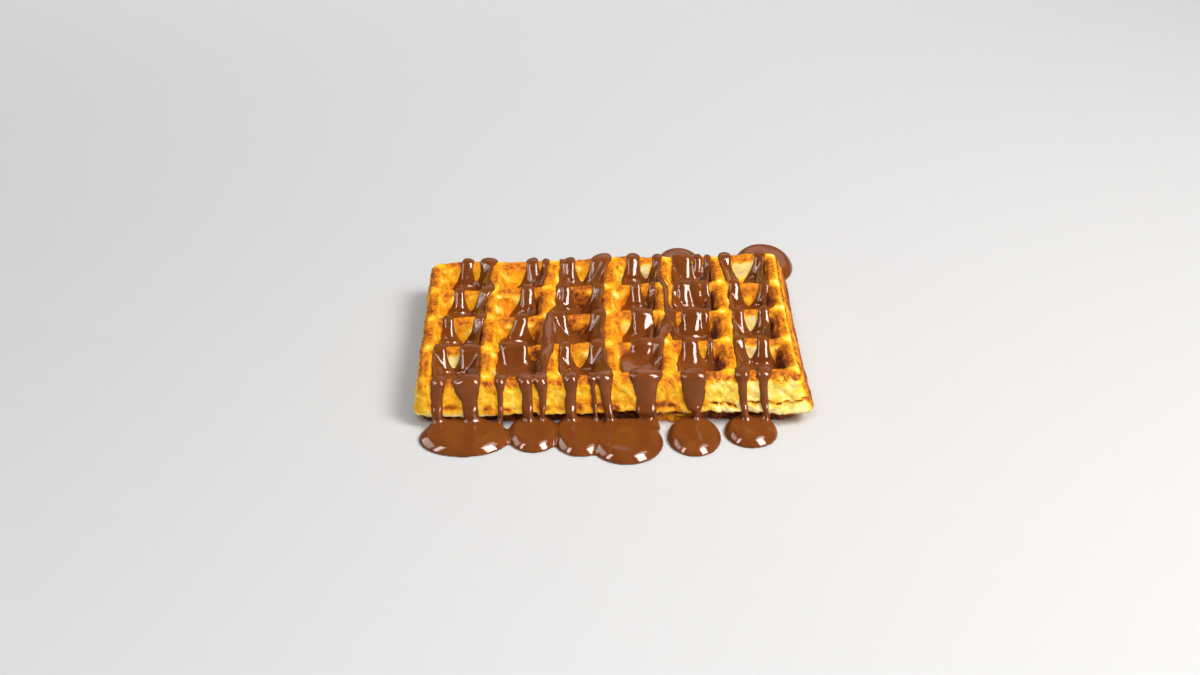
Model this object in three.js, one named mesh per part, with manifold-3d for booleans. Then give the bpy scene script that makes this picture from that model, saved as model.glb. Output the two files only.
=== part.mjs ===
// A 6 by 4 Brussels waffle under chocolate hazelnut sauce, with the sauce that ran off it.
// Millimetres, +Z up. The origin is on the ground under the middle of the waffle's grid of
// pockets, and the front edge, over which most of the sauce runs, faces -Y.
import * as THREE from 'three';
import Module from 'manifold-3d';

const wasm = await Module();
wasm.setup();

// The waffle's grid
const COLUMNS = 6;
const ROWS = 4;
const COLUMN_PITCH = 26;
const ROW_PITCH = 24.8;
const RIDGE_ALONG = 4.4;
const RIDGE_ACROSS = 3.4;
const THICKNESS = 22.5;
const RISE_TO_THE_RIGHT = Math.tan(THREE.MathUtils.degToRad(1.5));

// Pockets: the upper ones are part full of sauce, so their open depth ends at it. One at the front,
// under the widest pour, is more than half full.
const POCKET_DEPTH = 12;
const POCKET_WALL_RUN = 3.2;
const POOL_DEPTHS = [1.4, 3];
const FULL_POCKET = { column: 3, row: 0, pool: 7 };
const UNDER_POCKET_DEPTH = 5;
const UNDER_WALL_RUN = 1.8;
const POCKET_CORNER = 3;
const POCKET_CORNER_STEPS = 1;
const POCKET_FOOT = 1;

// Outer walls: they flare down to the line where the irons part, above a narrower lower crust.
// At that line the right end stands out further than the left end.
const TOP_OVERHANG = 2.9;
const SEAM_OVERHANG = 6.3;
const SEAM_OVERHANG_LEFT = 4.6;
const SEAM_OVERHANG_RIGHT = 9.2;
const LOWER_OVERHANG = 1.6;
const SEAM_HEIGHT = 6.2;
const EDGE_ROUNDING = 1.6;
const PLAN_CORNER = 4.5;
const PLAN_CORNER_STEPS = 4;

// Sauce
const BEAD_HEIGHT = 1.8;
const BEAD_SINK = 0.9;
const PUDDLE_HEIGHT = 4.2;
const PUDDLE_SIDES = 20;
const DRIP_END = 5;
const GAP = 0.3;

const HALF_X = (COLUMNS / 2) * COLUMN_PITCH;
const HALF_Y = (ROWS / 2) * ROW_PITCH;

// Each pour runs from the back rim to the front rim. x is where it crosses the back rim, the
// middle ridge and the front rim, and wide is its width there. back and front are the heights
// above the ground at which its two ends stop on the outer walls, and foot is its width there.
const POURS = [
  { x: [-65, -71, -72], wide: [6, 5, 7], back: 15, front: DRIP_END, foot: 5 },
  { x: [-55, -56, -60], wide: [8, 5, 11], back: 12, front: DRIP_END, foot: 6 },
  { x: [-34, -39, -45.5], wide: [6, 7, 6], back: 16, front: DRIP_END, foot: 2 },
  { x: [-34, -38, -36], wide: [5, 6, 7], back: 18, front: DRIP_END, foot: 4 },
  { x: [-27, -25, -29], wide: [4, 5, 6], back: 17, front: DRIP_END, foot: 3 },
  { x: [-17.5, -21, -16.8], wide: [6, 6, 7], back: 14, front: DRIP_END, foot: 4 },
  { x: [-2, -4, -4.2], wide: [9, 6.5, 10], back: 10, front: DRIP_END, foot: 5 },
  { x: [13, 15, 16], wide: [6, 8.5, 13], back: 15, front: 7.5, foot: 8 },
  { x: [24.5, 24, 21], wide: [5, 5.5, 6], back: 16, front: 15, foot: 4 },
  { x: [35.5, 37, 35.6], wide: [8, 8, 11], back: DRIP_END, front: DRIP_END, foot: 3 },
  { x: [45, 43.5, 41], wide: [6, 4, 4], back: 12, front: 16, foot: 3 },
  { x: [56, 58.5, 55.6], wide: [6, 5, 6], back: 15, front: DRIP_END, foot: 3 },
  { x: [73, 70.5, 65.3], wide: [6, 5, 6], back: DRIP_END, front: DRIP_END, foot: 2.4 },
];

// Puddles on the ground, each of one or more flat drops with their middle and radii
const PUDDLES = {
  puddle_front_left: [
    { x: -61, y: -64, rx: 19.5, ry: 13 },
    { x: -32, y: -62, rx: 11.5, ry: 12.5 },
    { x: -12, y: -63, rx: 12.5, ry: 14.5 },
    { x: 7, y: -68, rx: 15.5, ry: 15.5 },
    { x: 17, y: -57, rx: 4.5, ry: 6 },
  ],
  puddle_front_middle: [{ x: 35.5, y: -64.5, rx: 11.5, ry: 13.5 }],
  puddle_front_right: [{ x: 60, y: -61, rx: 11.3, ry: 11.3 }],
  puddle_back: [
    { x: 37, y: 79, rx: 12.5, ry: 19.5 },
    { x: 36, y: 62, rx: 8, ry: 9 },
  ],
  puddle_back_corner: [
    { x: 79, y: 82, rx: 14.6, ry: 19.5 },
    { x: 74, y: 64, rx: 8, ry: 10 },
  ],
};

const crust = new THREE.MeshStandardMaterial({ color: 0xe39a1e, roughness: 0.7, metalness: 0 });
const sauce = new THREE.MeshStandardMaterial({ color: 0x6b3a1e, roughness: 0.2, metalness: 0 });

// The waffle is a little thicker towards its right end.
const topHeight = (x) => THICKNESS + x * RISE_TO_THE_RIGHT;

// A value from 0 to 1 that differs from pocket to pocket and is always the same for one pocket
function unevenness(column, row, salt) {
  const turns = Math.sin(column * 12.99 + row * 78.23 + salt * 37.72) * 43758.55;
  return turns - Math.floor(turns);
}

// A closed skin through rings of points that lie anticlockwise when seen from the last ring's side
function skin(rings) {
  const sides = rings[0].length;
  const points = rings.flat();
  const faces = [];
  for (let level = 1; level < rings.length; level += 1) {
    for (let i = 0; i < sides; i += 1) {
      const low = (level - 1) * sides;
      const high = level * sides;
      const next = (i + 1) % sides;
      faces.push(low + i, low + next, high + next);
      faces.push(low + i, high + next, high + i);
    }
  }
  const firstMiddle = points.length;
  const lastMiddle = firstMiddle + 1;
  const lastStart = firstMiddle - sides;
  points.push(middleOf(rings[0]), middleOf(rings[rings.length - 1]));
  for (let i = 0; i < sides; i += 1) {
    const next = (i + 1) % sides;
    faces.push(firstMiddle, next, i);
    faces.push(lastMiddle, lastStart + i, lastStart + next);
  }
  const geometry = new THREE.BufferGeometry().setFromPoints(points);
  geometry.setIndex(faces);
  return geometry;
}

function middleOf(ring) {
  return ring.reduce((sum, point) => sum.add(point), new THREE.Vector3()).divideScalar(ring.length);
}

// A rectangle with round corners about a middle, at the height that heightAt gives for each x
function roundedRectangle(middleX, middleY, halfX, halfY, corner, steps, heightAt) {
  const ring = [];
  // The quarters follow each other anticlockwise from the corner at +X, +Y.
  for (let quarter = 0; quarter < 4; quarter += 1) {
    const signX = quarter === 0 || quarter === 3 ? 1 : -1;
    const signY = quarter < 2 ? 1 : -1;
    for (let step = 0; step <= steps; step += 1) {
      const angle = ((quarter + step / steps) * Math.PI) / 2;
      const x = middleX + signX * (halfX - corner) + corner * Math.cos(angle);
      const y = middleY + signY * (halfY - corner) + corner * Math.sin(angle);
      ring.push(new THREE.Vector3(x, y, heightAt(x)));
    }
  }
  return ring;
}

// Solids and meshes share their vertices, so either turns into the other directly.
function solidFrom(geometry) {
  const vertProperties = new Float32Array(geometry.getAttribute('position').array);
  const triVerts = new Uint32Array(geometry.index.array);
  return new wasm.Manifold(new wasm.Mesh({ numProp: 3, vertProperties, triVerts }));
}

function meshFrom(solid, name, material) {
  const { vertProperties, triVerts } = solid.getMesh();
  const geometry = new THREE.BufferGeometry();
  geometry.setAttribute('position', new THREE.BufferAttribute(new Float32Array(vertProperties), 3));
  geometry.setIndex(new THREE.BufferAttribute(new Uint32Array(triVerts), 1));
  geometry.computeVertexNormals();
  const mesh = new THREE.Mesh(geometry, material);
  mesh.name = name;
  return mesh;
}

// How far the outer wall stands out beyond the grid's edge lines, from the foot to the top
const wallLevels = [
  { height: () => 0, overhang: LOWER_OVERHANG - EDGE_ROUNDING },
  { height: () => EDGE_ROUNDING, overhang: LOWER_OVERHANG },
  { height: () => SEAM_HEIGHT - 1, overhang: LOWER_OVERHANG },
  { height: () => SEAM_HEIGHT, overhang: SEAM_OVERHANG, atSeam: true },
  { height: () => SEAM_HEIGHT + EDGE_ROUNDING, overhang: SEAM_OVERHANG, atSeam: true },
  { height: (x) => topHeight(x) - EDGE_ROUNDING, overhang: TOP_OVERHANG },
  { height: (x) => topHeight(x), overhang: TOP_OVERHANG - EDGE_ROUNDING },
];

function waffleBlock(gap) {
  const rings = wallLevels.map(({ height, overhang, atSeam }) => {
    const left = (atSeam ? SEAM_OVERHANG_LEFT : overhang) + gap;
    const right = (atSeam ? SEAM_OVERHANG_RIGHT : overhang) + gap;
    const halfX = HALF_X + (left + right) / 2;
    const halfY = HALF_Y + overhang + gap;
    const middleX = (right - left) / 2;
    return roundedRectangle(middleX, 0, halfX, halfY, PLAN_CORNER, PLAN_CORNER_STEPS, height);
  });
  return solidFrom(skin(rings));
}

// A pocket's middle, a little off the grid's own as in any real waffle
function pocketCentres() {
  const centres = [];
  for (let row = 0; row < ROWS; row += 1) {
    for (let column = 0; column < COLUMNS; column += 1) {
      const x = (column + 0.5) * COLUMN_PITCH - HALF_X + (unevenness(column, row, 1) - 0.5);
      const y = (row + 0.5) * ROW_PITCH - HALF_Y + (unevenness(column, row, 2) - 0.5);
      centres.push({ x, y, column, row });
    }
  }
  return centres;
}

// The hollow of a pocket, from levels in rising order, each with how far its walls have come in
function pocketHollow(x, y, levels) {
  const halfX = (COLUMN_PITCH - RIDGE_ALONG) / 2;
  const halfY = (ROW_PITCH - RIDGE_ACROSS) / 2;
  const rings = levels.map(({ inset, height }) => roundedRectangle(
    x, y, halfX - inset, halfY - inset, POCKET_CORNER, POCKET_CORNER_STEPS, height,
  ));
  return solidFrom(skin(rings));
}

function upperPockets() {
  const [shallow, deep] = POOL_DEPTHS;
  return pocketCentres().map(({ x, y, column, row }) => {
    const isFull = column === FULL_POCKET.column && row === FULL_POCKET.row;
    const usual = THREE.MathUtils.lerp(shallow, deep, unevenness(column, row, 3));
    const pool = isFull ? FULL_POCKET.pool : usual;
    const floor = topHeight(x) - POCKET_DEPTH + pool;
    const run = POCKET_WALL_RUN * (1 - pool / POCKET_DEPTH);
    return pocketHollow(x, y, [
      { inset: run + POCKET_FOOT, height: () => floor },
      { inset: run, height: () => floor + POCKET_FOOT },
      { inset: 0, height: topHeight },
      { inset: -EDGE_ROUNDING / 2, height: (at) => topHeight(at) + EDGE_ROUNDING },
    ]);
  });
}

function lowerPockets() {
  return pocketCentres().map(({ x, y }) => pocketHollow(x, y, [
    { inset: 0, height: () => -EDGE_ROUNDING },
    { inset: UNDER_WALL_RUN, height: () => UNDER_POCKET_DEPTH },
  ]));
}

// A smooth curve through three values, at a share of the way from the back rim to the front rim
function through([back, middle, front], share) {
  const ofBack = (1 - share) * (1 - 2 * share);
  const ofMiddle = 4 * share * (1 - share);
  const ofFront = share * (2 * share - 1);
  return back * ofBack + middle * ofMiddle + front * ofFront;
}

// How far the front and back walls stand out at a height above the ground
function wallOverhang(x, height) {
  const low = SEAM_HEIGHT + EDGE_ROUNDING;
  const high = topHeight(x) - EDGE_ROUNDING;
  const share = THREE.MathUtils.clamp((height - low) / (high - low), 0, 1);
  return THREE.MathUtils.lerp(SEAM_OVERHANG, TOP_OVERHANG, share);
}

// How deep a pour sinks between the cross ridges: not at all where it runs along a ridge
function sinkAt(x) {
  const toRidge = Math.abs(x - Math.round(x / COLUMN_PITCH) * COLUMN_PITCH);
  const share = THREE.MathUtils.clamp((toRidge - RIDGE_ALONG / 2) / POCKET_WALL_RUN, 0, 1);
  return share * POCKET_DEPTH;
}

// The stations of a pour: up the back wall, over each cross ridge and through the pockets
// between them, and down the front wall, with the middle of the bead and its width at each
function pourStations({ x, wide, back, front, foot }) {
  const onWall = (side, height, width) => {
    const at = side > 0 ? x[0] : x[2];
    return { x: at, y: side * (HALF_Y + wallOverhang(at, height)), z: height, width };
  };
  const onGrid = (y, isFoot) => {
    const share = (HALF_Y - y) / (2 * HALF_Y);
    const at = through(x, share);
    const sink = isFoot ? sinkAt(at) : 0;
    return { x: at, y, z: topHeight(at) - sink, width: through(wide, share) };
  };
  const backEdge = topHeight(x[0]) - 2 * EDGE_ROUNDING;
  const frontEdge = topHeight(x[2]) - 2 * EDGE_ROUNDING;
  const edge = RIDGE_ACROSS / 2;
  const toFoot = edge + POCKET_WALL_RUN;

  const stations = [onWall(1, back, foot), onWall(1, backEdge, wide[0])];
  for (let ridge = ROWS; ridge >= 0; ridge -= 1) {
    const middle = ridge * ROW_PITCH - HALF_Y;
    if (ridge < ROWS) {
      stations.push(onGrid(middle + toFoot, true));
    }
    stations.push(onGrid(middle + edge, false), onGrid(middle - edge, false));
    if (ridge > 0) {
      stations.push(onGrid(middle - toFoot, true));
    }
  }
  const halfway = (front + frontEdge) / 2;
  const halfwayWidth = THREE.MathUtils.lerp(wide[2], foot, 0.75);
  stations.push(onWall(-1, frontEdge, wide[2]));
  stations.push(onWall(-1, halfway, halfwayWidth));
  stations.push(onWall(-1, front, foot));
  return stations;
}

// The outline of a bead in shares of its half width and of its height or sink: three faces
// stand proud of the crust and two meet under it
const BEAD_OUTLINE = [[1, 0], [0.55, 0.9], [-0.55, 0.9], [-1, 0], [0, -1]];

// A pour is a bead along its stations, wider than it is high and sunk a little into the crust
function pourSolid(pour) {
  const stations = pourStations(pour);
  const rings = stations.map(({ x, y, z, width }, i) => {
    const before = stations[Math.max(i - 1, 0)];
    const after = stations[Math.min(i + 1, stations.length - 1)];
    const along = new THREE.Vector2(after.y - before.y, after.z - before.z).normalize();
    return BEAD_OUTLINE.map(([across, up]) => {
      const proud = up * (up > 0 ? BEAD_HEIGHT : BEAD_SINK);
      return new THREE.Vector3(x + (across * width) / 2, y + along.y * proud, z - along.x * proud);
    });
  });
  return solidFrom(skin(rings));
}

// A drop on the ground rises steeply from its outline, then leans in to a flat top: height and
// inset in shares of the puddle's height, from the ground up
const DROP_LEVELS = [
  { height: 0, inset: 0 },
  { height: 0.43, inset: 0.17 },
  { height: 0.75, inset: 0.42 },
  { height: 1, inset: 0.9 },
];

function dropSolid({ x, y, rx, ry }) {
  const rings = DROP_LEVELS.map(({ height, inset }) => {
    const outline = new THREE.EllipseCurve(x, y, rx - inset * PUDDLE_HEIGHT, ry - inset * PUDDLE_HEIGHT);
    const points = outline.getPoints(PUDDLE_SIDES).slice(0, PUDDLE_SIDES);
    return points.map((point) => new THREE.Vector3(point.x, point.y, height * PUDDLE_HEIGHT));
  });
  return solidFrom(skin(rings));
}

// A puddle is its drops run together, clear of the waffle that it has reached
function puddleSolid(drops, waffleWithClearance) {
  return wasm.Manifold.union(drops.map(dropSolid)).subtract(waffleWithClearance);
}

// The outermost skin alone: hollows that the pours close over are full of sauce
function withoutSealedHollows(solid) {
  const skins = solid.decompose();
  return skins.reduce((largest, next) => (next.volume() > largest.volume() ? next : largest));
}

const group = new THREE.Group();

const hollows = wasm.Manifold.union([...upperPockets(), ...lowerPockets()]);
const baked = waffleBlock(0).subtract(hollows);
const pours = POURS.map(pourSolid);
const dressed = withoutSealedHollows(wasm.Manifold.union([baked, ...pours]));
group.add(meshFrom(dressed, 'waffle', crust));

const waffleWithClearance = waffleBlock(GAP);
for (const [name, drops] of Object.entries(PUDDLES)) {
  group.add(meshFrom(puddleSolid(drops, waffleWithClearance), name, sauce));
}

export default group;
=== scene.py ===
"""A 6 by 4 Brussels waffle under poured chocolate hazelnut sauce, dressed for a studio photograph.

Lengths are in millimetres until a mesh is made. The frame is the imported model's: +Z up, the front
edge towards -Y, and the origin on the ground under the middle of the waffle's grid of pockets.
"""
import math
from types import SimpleNamespace

import bpy
import numpy as np
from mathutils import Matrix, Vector


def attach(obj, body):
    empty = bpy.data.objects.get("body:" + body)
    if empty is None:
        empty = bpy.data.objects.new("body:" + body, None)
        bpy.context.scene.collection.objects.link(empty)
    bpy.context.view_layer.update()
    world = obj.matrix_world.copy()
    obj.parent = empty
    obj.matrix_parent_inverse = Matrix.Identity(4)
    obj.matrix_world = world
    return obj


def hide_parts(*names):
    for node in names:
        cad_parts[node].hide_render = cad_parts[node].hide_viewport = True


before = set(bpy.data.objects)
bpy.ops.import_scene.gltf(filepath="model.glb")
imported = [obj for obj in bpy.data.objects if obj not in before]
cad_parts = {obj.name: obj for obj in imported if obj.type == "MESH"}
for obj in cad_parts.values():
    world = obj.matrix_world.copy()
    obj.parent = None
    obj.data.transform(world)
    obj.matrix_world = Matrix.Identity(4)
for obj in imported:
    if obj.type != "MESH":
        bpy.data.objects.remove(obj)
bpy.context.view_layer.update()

MM = 0.001

# The waffle's grid of pockets. The ridges along Y, which run from back to front, are wider than those
# across. A wall's run is how far it leans in on its way down to the floor.
COLUMNS, ROWS = 6, 4
COLUMN_PITCH, ROW_PITCH = 26.0, 24.8
HALF_X, HALF_Y = COLUMNS / 2 * COLUMN_PITCH, ROWS / 2 * ROW_PITCH
THICKNESS = 22.5
RISE_TO_THE_RIGHT = math.tan(math.radians(1.5))
RIDGE_ALONG, RIDGE_ACROSS = 4.4, 3.2
POCKET_DEPTH, POCKET_WALL_RUN = 12.0, 3.2
UNDER_POCKET_DEPTH, UNDER_WALL_RUN = 5.0, 1.8
POCKET_CORNER = 3.0

# The outer walls: how far they stand out past the grid at the top, at the seam where the two irons
# met, and below it. At the seam the outline is shifted to the right and longer.
TOP_OVERHANG, SEAM_OVERHANG, LOWER_OVERHANG = 2.9, 6.3, 1.6
SEAM_SHIFT, SEAM_STRETCH = 2.3, 0.6
SEAM_HEIGHT = 6.2
PLAN_CORNER = 4.5

# A thin fin of batter runs along the right rim, at this X on a grid whose ridges run straight
FIN = HALF_X + 1.7

# The torn seam at the right end of the front wall fades in between these two values of X
TORN_FROM, TORN_FULLY = 40.0, 46.0

# How far each of the seven ridges along Y strays to the right at its back, middle and front
SWAY_BACK = (-1.6, 1.3, 1.4, 2.6, 2.3, -0.2, -0.2)
SWAY_MIDDLE = (-0.8, -0.6, -1.6, 0.3, -1.2, 0.1, -0.8)
SWAY_FRONT = (-0.7, -0.2, 1.8, 1.5, -0.8, -1.1, 0.0)

# Each run of sauce is a list of stations (row, x, width). The row counts pockets from the back rim,
# 0, over the cross ridges at 1, 2 and 3 to the front rim, 4, and goes on down the front wall to the
# ground at about 5.1, and down the back wall to about -1.1.
RUNS = {
    "a": ((-0.6, -64.6, 4.4), (0, -65.2, 6.1), (0.22, -66.4, 3.8), (0.7, -67.0, 4.2),
          (1, -67.8, 4.6), (2, -70.9, 4.9), (2.22, -71.2, 4.2), (3, -72.9, 6.1),
          (4, -71.9, 6.9), (4.2, -72.1, 6.2), (4.45, -72.6, 5.0), (4.8, -72.9, 5.0), (5.1, -73.0, 5.6)),
    "b": ((-0.5, -54.5, 7.0), (0, -54.9, 8.0), (0.22, -55.6, 4.6), (0.5, -57.0, 5.4),
          (1, -54.9, 6.4), (1.25, -57.4, 4.8), (1.5, -58.4, 5.0), (2, -56.8, 5.2), (2.22, -58.4, 4.4),
          (2.5, -59.6, 5.4), (3, -59.5, 8.7), (3.5, -60.4, 9.0), (4, -60.0, 11.3),
          (4.3, -59.7, 10.4), (4.6, -59.0, 7.2), (5.1, -58.6, 6.4)),
    "c": ((-0.7, -34.2, 5.0), (0, -34.5, 6.1), (0.5, -33.8, 7.4), (1, -36.1, 6.6), (1.5, -36.4, 7.4),
          (2, -38.6, 6.4), (2.5, -42.0, 9.0), (3, -43.4, 8.0), (4, -45.3, 5.6), (4.2, -45.7, 4.4),
          (4.45, -46.1, 2.6), (4.8, -46.3, 2.3), (5.1, -46.5, 2.2)),
    "c_right": ((2.3, -39.0, 4.0), (3, -38.6, 7.5), (4, -36.1, 7.1), (4.2, -35.6, 6.0),
                (4.45, -34.7, 4.6), (5.1, -34.0, 4.4)),
    "d_back": ((-0.35, -27.3, 3.2), (0, -27.9, 3.8), (0.3, -29.4, 3.2), (0.6, -30.4, 3.0)),
    "d": ((1.85, -24.3, 3.0), (2, -24.6, 6.0), (2.5, -25.4, 6.4), (3, -26.6, 6.1), (3.5, -28.6, 6.2),
          (4, -28.9, 6.3), (4.2, -28.8, 5.4), (4.4, -28.5, 3.4), (4.8, -28.3, 2.7), (5.1, -28.3, 2.4)),
    "e": ((-0.25, -20.6, 1.8), (0, -21.1, 1.9), (0.5, -21.2, 2.0), (1, -22.3, 1.9), (1.5, -22.0, 2.4)),
    "f": ((-0.6, -17.0, 4.0), (0, -17.1, 5.2), (1, -18.6, 4.6), (2, -21.6, 8.6), (2.5, -19.0, 8.0),
          (3, -18.8, 5.2), (4, -16.8, 7.1), (4.2, -16.5, 6.2), (4.45, -16.2, 4.8), (5.1, -15.8, 4.4)),
    "g": ((-0.5, -2.0, 7.0), (0, -2.2, 9.6), (0.5, -5.6, 7.0), (1, -3.9, 5.6), (1.5, -5.8, 6.4),
          (2, -3.8, 7.1), (2.5, -6.0, 7.0), (3, -4.4, 6.9), (3.5, -5.0, 8.0), (4, -2.4, 8.2),
          (4.2, -1.8, 6.2), (4.45, -1.1, 4.4), (5.1, 0.0, 4.0)),
    "g_left": ((3.4, -6.6, 3.0), (4, -7.4, 4.2), (4.25, -6.8, 2.4), (4.6, -6.2, 2.0), (5.1, -6.0, 1.9)),
    "h": ((-0.7, 13.0, 5.0), (0, 13.1, 6.1), (1, 13.1, 4.8), (2, 15.6, 9.4), (3, 14.8, 9.1),
          (3.4, 13.6, 10.0), (4, 15.6, 13.4), (4.3, 15.5, 10.8), (4.6, 15.4, 9.4), (4.84, 15.4, 8.6)),
    "i_back": ((-0.5, 24.6, 3.6), (0, 24.6, 4.7), (0.3, 23.8, 4.0), (0.55, 22.9, 3.0)),
    "i_thread": ((0.2, 24.2, 2.4), (0.53, 23.8, 2.4), (0.87, 25.1, 2.6), (1.17, 26.8, 2.6),
                 (1.75, 27.0, 2.4), (1.95, 27.6, 2.8)),
    "i_strand": ((0.85, 21.2, 2.0), (1, 20.8, 3.2), (1.5, 20.1, 2.6)),
    "i": ((1.8, 28.2, 3.5), (2, 27.9, 5.4), (2.4, 26.4, 6.0), (2.7, 23.8, 5.6), (3, 22.0, 5.6),
          (3.4, 19.5, 7.0)),
    "j": ((-1.1, 36.5, 5.0), (-0.4, 35.8, 8.0), (0, 35.9, 9.0), (1, 35.7, 5.6), (2, 37.5, 8.5),
          (3, 35.2, 6.7), (4, 35.6, 10.9), (4.3, 35.5, 9.8), (4.6, 35.5, 9.2), (4.82, 35.9, 6.8),
          (4.92, 37.0, 2.4), (5.1, 37.2, 2.2)),
    "j_left": ((0.85, 31.5, 2.0), (1, 31.7, 2.4), (1.4, 31.9, 3.0)),
    "k": ((-0.5, 43.5, 3.0), (0, 43.5, 3.8), (1, 41.4, 5.0), (2, 43.9, 3.1), (3, 44.0, 2.6),
          (3.45, 43.6, 2.4)),
    "l": ((-0.35, 48.5, 2.6), (0, 48.0, 3.3), (0.5, 46.4, 3.4), (1, 45.2, 4.4), (1.5, 44.6, 4.0)),
    "m": ((-0.6, 55.8, 4.5), (0, 55.9, 5.7), (1, 58.6, 4.8), (2, 58.5, 5.1), (3, 56.8, 5.0),
          (3.5, 57.4, 5.0), (4, 55.7, 6.2), (4.16, 55.7, 6.2), (4.3, 56.0, 4.1), (4.7, 56.8, 3.7),
          (4.95, 57.4, 3.2), (5.1, 57.8, 3.4)),
    "n": ((-1.1, 73.5, 3.6), (-0.4, 73.2, 4.4), (0, 72.8, 5.4), (0.5, 71.4, 5.0), (1, 72.5, 4.6),
          (1.5, 70.0, 4.8), (2, 69.7, 4.9), (3, 67.5, 5.2), (4, 65.3, 6.4), (4.16, 65.2, 6.4),
          (4.3, 65.2, 4.0), (4.7, 65.4, 3.5), (4.92, 65.9, 2.7), (5.1, 66.0, 3.0)),
}

# How far below the ridge tops the sauce stands in the pockets, from the back row to the front row
POOL_SURFACE = (
    (11.6, 11.6, 11.0, 11.4, 10.8, 11.6),
    (11.6, 11.6, 11.2, 11.2, 10.8, 11.6),
    (11.4, 11.0, 9.6, 11.2, 11.0, 11.6),
    (9.8, 7.0, 11.0, 4.6, 9.2, 11.4),
)

# Pockets whose far wall is pale crumb, orange crust or dark crust, counted from the front left
PALE_POCKETS = (0, 5, 11, 21, 23)
ORANGE_POCKETS = (3, 15, 17)
DARK_POCKETS = (1, 8, 14)

# Puddles on the ground: the middle and radii of the drops that each has run together from
PUDDLES = {
    "puddle_front_left": (
        (-61.0, -64.0, 19.5, 13.2),
        (-32.0, -62.0, 11.5, 12.6),
        (-12.0, -63.0, 12.5, 14.7),
        (7.0, -68.0, 15.5, 15.5),
        (17.0, -57.0, 4.7, 6.0),
    ),
    "puddle_front_middle": ((35.5, -64.5, 11.5, 13.7),),
    "puddle_front_right": ((59.8, -61.0, 11.4, 11.5),),
    "puddle_back": ((37.0, 79.0, 12.5, 19.5), (36.0, 62.0, 8.0, 9.0)),
    "puddle_back_corner": ((79.0, 82.0, 14.6, 19.5), (74.0, 64.0, 8.0, 10.0)),
}

# The puddles' height, and how wide their rounded rims are
PUDDLE_HEIGHT = 4.2
PUDDLE_EDGE = 3.7

# The sauce reaches this far into the crust, so that no gap shows where the crust is rough, and
# stays this far above the ground
SAUCE_SINK = 0.8
GROUND_GAP = 0.05

# The poured sauce ends at the first of these heights and the puddled sauce at the second
POURED_DOWN_TO, PUDDLED_UP_TO = 5.3, 6.0

# A field's value where nothing is near
FAR = 99.0

# The size of the grid cells that the sauce's surface is found on
SAUCE_CELL = 0.66


# Fields take an array of points and give one value for each. Liquid that runs together is no sheet
# of two parameters, so the sauce is the surface where such a field is zero.


def smooth_min(a, b, reach):
    """The smaller of two fields, rounded off where they differ by less than reach."""
    share = np.clip(0.5 + 0.5 * (b - a) / reach, 0, 1)
    return b + (a - b) * share - reach * share * (1 - share)


def smooth_max(a, b, reach):
    """The larger of two fields, rounded off where they differ by less than reach."""
    return -smooth_min(-a, -b, reach)


def ramp(value, low, high):
    """0 below low, 1 above high, and an S-shaped rise between them."""
    share = np.clip((value - low) / (high - low), 0, 1)
    return share * share * (3 - 2 * share)


def rumple(points, wavelength, seed, waves=20):
    """Even noise of about that wavelength: the sum of cosine waves in random directions."""
    draw = np.random.default_rng(seed)
    directions = draw.normal(size=(waves, 3))
    directions /= np.linalg.norm(directions, axis=1)[:, None]
    steps = 2 * math.pi / wavelength * draw.uniform(0.7, 1.4, waves)
    phases = draw.uniform(0, 2 * math.pi, waves)
    angle = points @ (directions * steps[:, None]).T.astype(points.dtype) + phases.astype(points.dtype)
    return np.cos(angle).sum(axis=1) * math.sqrt(2 / waves)


def through(back, middle, front, share):
    """The parabola through three values at shares 0, a half and 1."""
    return (
        back * (1 - share) * (1 - 2 * share)
        + middle * 4 * share * (1 - share)
        + front * share * (2 * share - 1)
    )


def sway(x, y):
    """How far the ridges along Y stray to the right at a place, between two of them in proportion."""
    ridge = x / COLUMN_PITCH + COLUMNS / 2
    share = np.clip((HALF_Y - y) / (2 * HALF_Y), 0, 1)
    lines = np.arange(COLUMNS + 1)
    strays = [np.interp(ridge, lines, values) for values in (SWAY_BACK, SWAY_MIDDLE, SWAY_FRONT)]
    return through(*strays, share)


def top_height(x, y):
    """The ridges' height: a slope up to the right with low, slow swells."""
    swell = 0.35 * np.sin(x / 11 + 1.1) * np.cos(y / 9 + 0.4) + 0.22 * np.sin(x / 5.3 + y / 7)
    return THICKNESS + x * RISE_TO_THE_RIGHT + swell


def rectangle_distance(x, y, half_x, half_y, corner):
    """Signed distance to a rectangle with round corners, negative inside."""
    qx = np.abs(x) - half_x + corner
    qy = np.abs(y) - half_y + corner
    outside = np.hypot(np.maximum(qx, 0), np.maximum(qy, 0))
    return outside + np.minimum(np.maximum(qx, qy), 0) - corner


def wall_overhang(top, z):
    """How far the outer wall stands out: most at the seam, and less in a straight line above it."""
    low, high = SEAM_HEIGHT + 1.2, top - 1.6
    share = np.clip((z - low) / (high - low), 0, 1)
    return SEAM_OVERHANG + (TOP_OVERHANG - SEAM_OVERHANG) * share


# How much each pocket differs from the others in place, size and depth
cells = np.random.default_rng(11)
CELL_SHIFT = cells.uniform(-0.5, 0.5, (2, COLUMNS, ROWS))
CELL_SIZE = cells.uniform(-0.5, 0.4, (2, COLUMNS, ROWS))
CELL_FLOOR = cells.uniform(-0.6, 0.6, (COLUMNS, ROWS))


def cell_of(x, y):
    """The column and row of the pocket at a place, the row counted from the front."""
    column = np.clip(np.floor(x / COLUMN_PITCH + COLUMNS / 2), 0, COLUMNS - 1).astype(int)
    row = np.clip(np.floor(y / ROW_PITCH + ROWS / 2), 0, ROWS - 1).astype(int)
    return column, row


def past_grid(x, y):
    """How far a place is past the edge of the grid of pockets, negative over the grid."""
    return np.maximum(np.abs(x) - HALF_X, np.abs(y) - HALF_Y)


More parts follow.
